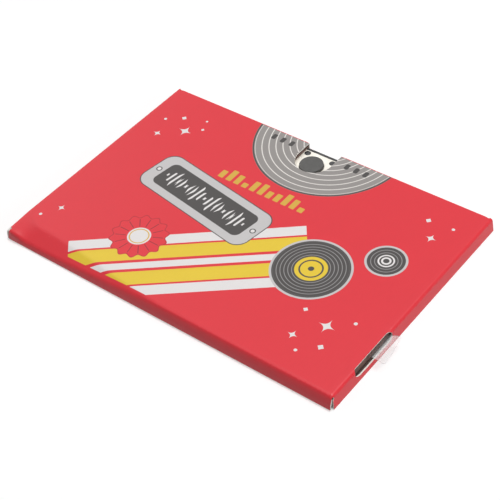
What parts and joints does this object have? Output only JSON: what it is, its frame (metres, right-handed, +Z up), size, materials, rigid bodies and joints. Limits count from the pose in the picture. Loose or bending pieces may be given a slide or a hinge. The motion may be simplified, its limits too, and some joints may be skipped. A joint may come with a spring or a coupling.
{
  "type": "recordable greeting card",
  "caption": "Closed recordable greeting card: a shallow folded board case holding a sound module, with a play button in an edge notch, a clear battery pull tab and an opening back page.",
  "frame": {"origin": "under the middle of the closed card, on the surface that it lies on", "axes": "+X along the spine edge, +Y from the spine to the open edge with the notch, +Z up through the front cover"},
  "size_m": [0.1238, 0.081, 0.0045],
  "materials": {
    "printed_board": "satin",
    "spine_board": "satin",
    "back_board": "satin",
    "liner_board": "matte",
    "greyboard": "matte",
    "black_plastic": "satin",
    "white_plastic": "satin",
    "button_plastic": "satin",
    "clear_film": "gloss",
    "red_plastic": "satin",
    "yellow_plastic": "satin",
    "circuit_board": "satin",
    "chip_resin": "gloss",
    "silicon": "satin",
    "ceramic_chip": "satin",
    "steel": "satin",
    "bright_steel": "polished",
    "solder": "polished",
    "magnet": "satin",
    "copper": "satin",
    "tape": "matte",
    "felt": "matte"
  },
  "bodies": {
    "page": {"back_page": "back_board"},
    "spine": {"spine_wall": "spine_board"},
    "case": {"front_case": "printed_board", "inner_liner": "liner_board", "spacer_block": "greyboard", "play_switch_base": "black_plastic", "play_switch_plate": "steel", "play_switch_dome": "bright_steel", "play_switch_legs": "solder", "play_switch_tape": "tape", "sound_board": "circuit_board", "sound_board_tape": "tape", "sound_chip": "silicon", "chip_blob": "chip_resin", "capacitors": "ceramic_chip", "resistors": "ceramic_chip", "solder_joints": "solder", "record_switch_base": "black_plastic", "record_switch_plate": "steel", "record_switch_dome": "bright_steel", "record_switch_legs": "solder", "lock_switch_base": "black_plastic", "lock_switch_case": "steel", "lock_switch_legs": "solder", "microphone_can": "bright_steel", "microphone_felt": "felt", "microphone_pins": "solder", "speaker_frame": "black_plastic", "speaker_cone": "clear_film", "speaker_coil": "copper", "speaker_yoke": "steel", "speaker_magnet": "magnet", "speaker_pole_plate": "steel", "speaker_terminal_board": "circuit_board", "speaker_tape": "tape", "battery_holder": "black_plastic", "battery_cells": "bright_steel", "battery_lower_contacts": "steel", "battery_upper_contacts": "steel", "battery_tape": "tape", "speaker_lead_black": "black_plastic", "speaker_lead_red": "red_plastic", "switch_lead_white": "white_plastic", "switch_lead_yellow": "yellow_plastic", "battery_lead_black": "black_plastic", "battery_lead_red": "red_plastic"},
    "play_key": {"play_button": "button_plastic"},
    "record_key": {"record_button": "red_plastic"},
    "lock_slider": {"lock_knob": "white_plastic"},
    "tab": {"pull_tab": "clear_film"}
  },
  "joints": [
    {"name": "spine_fold", "type": "hinge", "parent": "page", "child": "spine", "pos_m": [0, -0.04027, 0.00023], "axis": [1, 0, 0], "range_deg": [0, 90]},
    {"name": "cover_fold", "type": "hinge", "parent": "spine", "child": "case", "pos_m": [0, -0.03977, 0.00377], "axis": [1, 0, 0], "range_deg": [0, 90]},
    {"name": "play_press", "type": "slide", "parent": "case", "child": "play_key", "axis": [0, 0, -1], "range_m": [0, 0.0003], "stiffness_N_per_m": 1000, "springref_m": -0.0003},
    {"name": "record_press", "type": "slide", "parent": "case", "child": "record_key", "axis": [0, 0, 1], "range_m": [0, 0.0002], "stiffness_N_per_m": 1000, "springref_m": -0.0003},
    {"name": "lock_slide", "type": "slide", "parent": "case", "child": "lock_slider", "axis": [1, 0, 0], "range_m": [0, 0.002]},
    {"name": "tab_pull", "type": "slide", "parent": "case", "child": "tab", "axis": [1, 0, 0], "range_m": [0, 0.018]}
  ]
}
